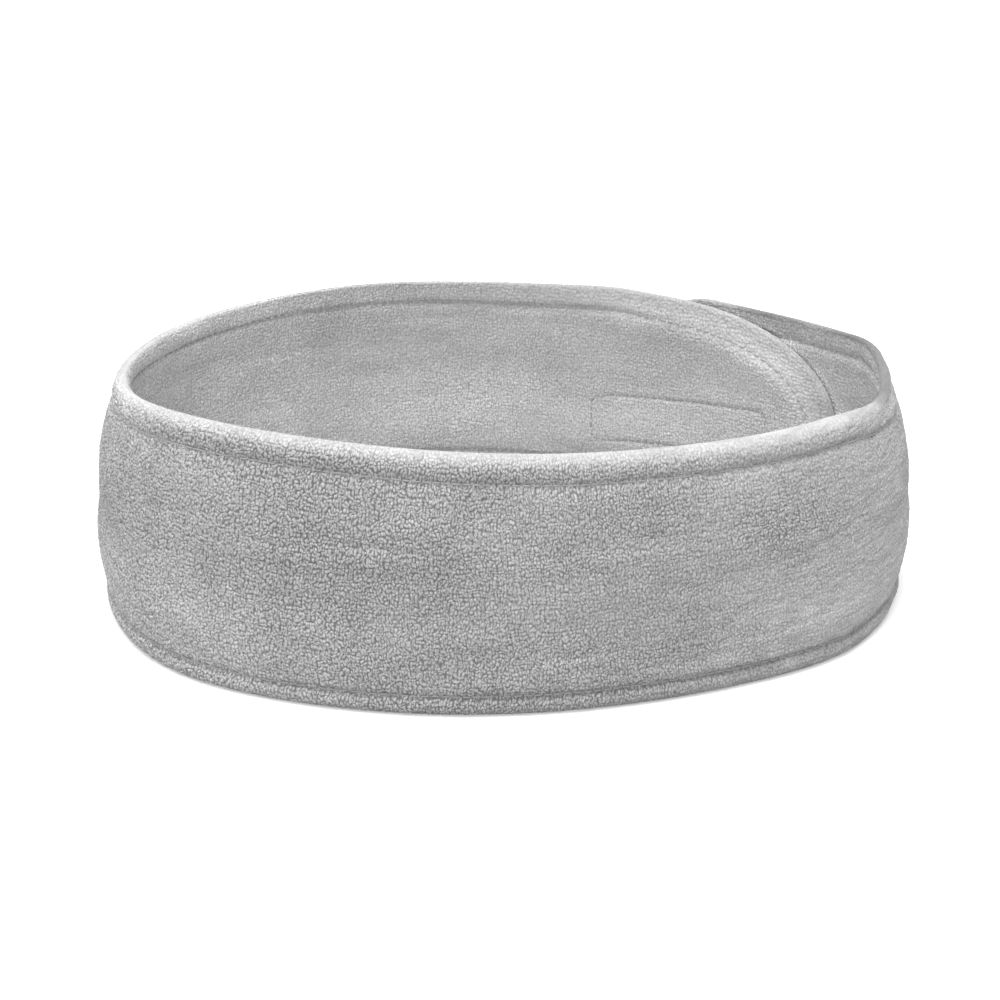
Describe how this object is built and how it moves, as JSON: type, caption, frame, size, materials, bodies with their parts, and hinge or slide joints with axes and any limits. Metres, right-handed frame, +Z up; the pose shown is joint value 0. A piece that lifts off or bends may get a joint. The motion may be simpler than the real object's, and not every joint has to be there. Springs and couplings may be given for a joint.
{
  "type": "spa headband",
  "caption": "Terry-cloth spa headband: two-ply strip with topstitched rolled edges, closed to a ring by hook-and-loop tails that overlap at the back right.",
  "frame": {"origin": "centre of the resting edge: under the middle of the closed ring, on the plane it stands on", "axes": "+Z up along the height of the band, -Y towards the front, +X towards the wearer-side right of the view from the front"},
  "size_m": [0.2017, 0.1826, 0.0614],
  "materials": {
    "terry_outer": "light grey cotton terry, loop pile, matt",
    "terry_inner": "light grey cotton terry lining, loop pile, matt",
    "stitching_thread": "grey spun polyester sewing thread",
    "hook_tape": "grey nylon hook tape",
    "loop_tape": "grey brushed nylon loop tape"
  },
  "bodies": {
    "inner_tail": {"inner_tail_outer_terry": "terry_outer", "inner_tail_inner_terry": "terry_inner", "inner_tail_edge_stitching": "stitching_thread", "loop_tape": "loop_tape", "loop_tape_stitching": "stitching_thread"},
    "back_centre": {"back_centre_outer_terry": "terry_outer", "back_centre_inner_terry": "terry_inner", "back_centre_top_stitching": "stitching_thread", "back_centre_bottom_stitching": "stitching_thread"},
    "back_left": {"back_left_outer_terry": "terry_outer", "back_left_inner_terry": "terry_inner", "back_left_top_stitching": "stitching_thread", "back_left_bottom_stitching": "stitching_thread"},
    "left_rear": {"left_rear_outer_terry": "terry_outer", "left_rear_inner_terry": "terry_inner", "left_rear_top_stitching": "stitching_thread", "left_rear_bottom_stitching": "stitching_thread"},
    "left_side": {"left_side_outer_terry": "terry_outer", "left_side_inner_terry": "terry_inner", "left_side_top_stitching": "stitching_thread", "left_side_bottom_stitching": "stitching_thread"},
    "left_temple": {"left_temple_outer_terry": "terry_outer", "left_temple_inner_terry": "terry_inner", "left_temple_top_stitching": "stitching_thread", "left_temple_bottom_stitching": "stitching_thread"},
    "front": {"front_outer_terry": "terry_outer", "front_inner_terry": "terry_inner", "front_top_stitching": "stitching_thread", "front_bottom_stitching": "stitching_thread"},
    "right_temple": {"right_temple_outer_terry": "terry_outer", "right_temple_inner_terry": "terry_inner", "right_temple_top_stitching": "stitching_thread", "right_temple_bottom_stitching": "stitching_thread"},
    "right_side": {"right_side_outer_terry": "terry_outer", "right_side_inner_terry": "terry_inner", "right_side_top_stitching": "stitching_thread", "right_side_bottom_stitching": "stitching_thread"},
    "right_rear": {"right_rear_outer_terry": "terry_outer", "right_rear_inner_terry": "terry_inner", "right_rear_top_stitching": "stitching_thread", "right_rear_bottom_stitching": "stitching_thread"},
    "outer_tail": {"outer_tail_outer_terry": "terry_outer", "outer_tail_inner_terry": "terry_inner", "outer_tail_edge_stitching": "stitching_thread", "hook_tape": "hook_tape", "hook_tape_stitching": "stitching_thread"}
  },
  "joints": [
    {"name": "open_band", "type": "hinge", "parent": "front", "child": "right_temple", "pos_m": [0.03588, -0.08247, 0], "axis": [0, 0, -1], "range_deg": [0, 27]},
    {"name": "right_side_bend", "type": "hinge", "parent": "right_temple", "child": "right_side", "pos_m": [0.07811, -0.05587, 0], "axis": [0, 0, -1], "range_deg": [0, 27]},
    {"name": "right_rear_bend", "type": "hinge", "parent": "right_side", "child": "right_rear", "pos_m": [0.10023, -0.00744, 0], "axis": [0, 0, -1], "range_deg": [0, 27]},
    {"name": "left_temple_bend", "type": "hinge", "parent": "front", "child": "left_temple", "pos_m": [-0.04041, -0.08533, 0], "axis": [0, 0, 1], "range_deg": [0, 18]},
    {"name": "left_side_bend", "type": "hinge", "parent": "left_temple", "child": "left_side", "pos_m": [-0.08433, -0.05299, 0], "axis": [0, 0, 1], "range_deg": [0, 18]},
    {"name": "left_rear_bend", "type": "hinge", "parent": "left_side", "child": "left_rear", "pos_m": [-0.10022, 0.001, 0], "axis": [0, 0, 1], "range_deg": [0, 18]},
    {"name": "back_left_bend", "type": "hinge", "parent": "left_rear", "child": "back_left", "pos_m": [-0.08008, 0.05326, 0], "axis": [0, 0, 1], "range_deg": [0, 18]},
    {"name": "back_centre_bend", "type": "hinge", "parent": "back_left", "child": "back_centre", "pos_m": [-0.03496, 0.08302, 0], "axis": [0, 0, 1], "range_deg": [0, 18]},
    {"name": "peel_outer_tail", "type": "hinge", "parent": "right_rear", "child": "outer_tail", "pos_m": [0.08424, 0.04354, 0], "axis": [0, 0, -1], "range_deg": [0, 60]},
    {"name": "fold_inner_tail", "type": "hinge", "parent": "back_centre", "child": "inner_tail", "pos_m": [0.01347, 0.06881, 0], "axis": [0, 0, -1], "range_deg": [0, 35]}
  ],
  "couplings": [
    {"joint": "right_side_bend", "follows": "open_band", "ratio": 1},
    {"joint": "right_rear_bend", "follows": "open_band", "ratio": 1},
    {"joint": "left_temple_bend", "follows": "open_band", "ratio": 0.66},
    {"joint": "left_side_bend", "follows": "open_band", "ratio": 0.66},
    {"joint": "left_rear_bend", "follows": "open_band", "ratio": 0.66},
    {"joint": "back_left_bend", "follows": "open_band", "ratio": 0.66},
    {"joint": "back_centre_bend", "follows": "open_band", "ratio": 0.66}
  ]
}
